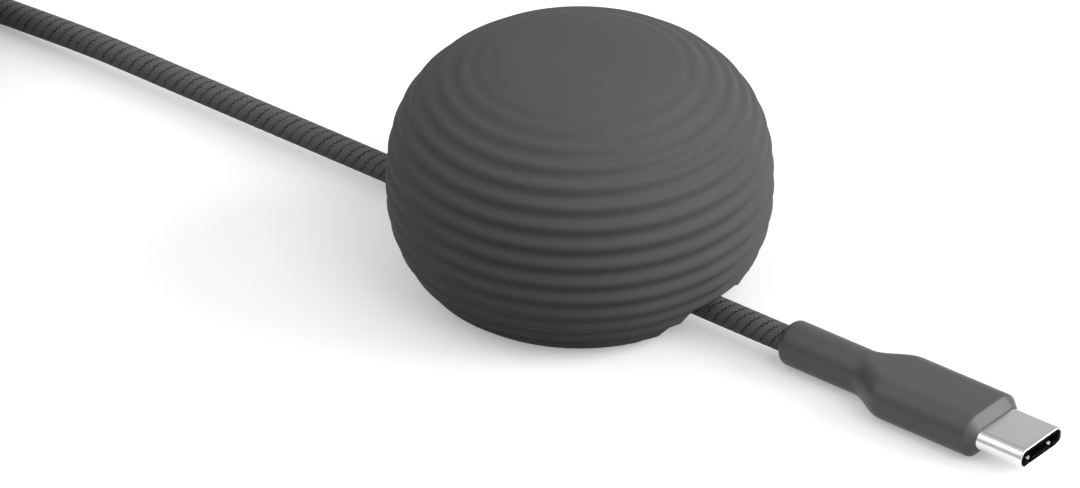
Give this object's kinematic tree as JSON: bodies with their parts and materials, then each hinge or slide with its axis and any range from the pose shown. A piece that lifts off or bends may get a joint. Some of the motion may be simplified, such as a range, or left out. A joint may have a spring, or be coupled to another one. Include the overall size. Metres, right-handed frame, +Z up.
{
  "type": "usb cable",
  "caption": "Braided USB-C cable with a round ribbed desk weight that slides along it, spare length tied in a coil.",
  "frame": {"origin": "centre of the weight's footprint on the desk", "axes": "+X along the cord to the near plug's mouth, +Z up, +Y to the far side"},
  "size_m": [0.2135, 0.0794, 0.0308],
  "materials": {
    "silicone": "soft-touch matt silicone",
    "cast_metal": "as cast",
    "base_plastic": "moulded, fine spark texture",
    "clip_plastic": "moulded",
    "screw_steel": "zinc plated",
    "pad_rubber": "matt foam rubber",
    "braid": "tight nylon braid",
    "strap": "woven hook and loop",
    "boot_plastic": "satin moulded",
    "shell_steel": "nickel plated, drawn",
    "housing_plastic": "moulded",
    "contact_gold": "gold plated",
    "spring_steel": "rolled",
    "circuit_card": "lacquered",
    "chip_resin": "moulded resin",
    "inner_plastic": "low-pressure moulded",
    "ferrule_brass": "drawn",
    "wire_insulation": "extruded"
  },
  "bodies": {
    "weight": {"weight_cover": "silicone", "weight_core": "cast_metal", "base_plate": "base_plastic", "cord_clip": "clip_plastic", "base_screws": "screw_steel", "left_pad": "pad_rubber", "right_pad": "pad_rubber"},
    "cable": {"cord_run": "braid", "cord_coil": "braid", "cord_tail": "braid", "cord_tie": "strap", "boot": "boot_plastic", "shell": "shell_steel", "housing": "housing_plastic", "upper_contacts": "contact_gold", "lower_contacts": "contact_gold", "latch_plate": "spring_steel", "upper_ground_spring": "spring_steel", "lower_ground_spring": "spring_steel", "paddle_card": "circuit_card", "marker_chip": "chip_resin", "inner_mould": "inner_plastic", "shield_can": "shell_steel", "crimp_ferrule": "ferrule_brass", "cord_end": "braid", "conductors": "wire_insulation", "far_boot": "boot_plastic", "far_shell": "shell_steel", "far_housing": "housing_plastic", "far_upper_contacts": "contact_gold", "far_lower_contacts": "contact_gold", "far_latch_plate": "spring_steel", "far_upper_ground_spring": "spring_steel", "far_lower_ground_spring": "spring_steel", "far_paddle_card": "circuit_card", "far_marker_chip": "chip_resin", "far_inner_mould": "inner_plastic", "far_shield_can": "shell_steel", "far_crimp_ferrule": "ferrule_brass", "far_cord_end": "braid", "far_conductors": "wire_insulation"}
  },
  "joints": [
    {"name": "cord_slide", "type": "slide", "parent": "weight", "child": "cable", "axis": [1, 0, 0], "range_m": [-0.01, 0.06]}
  ]
}
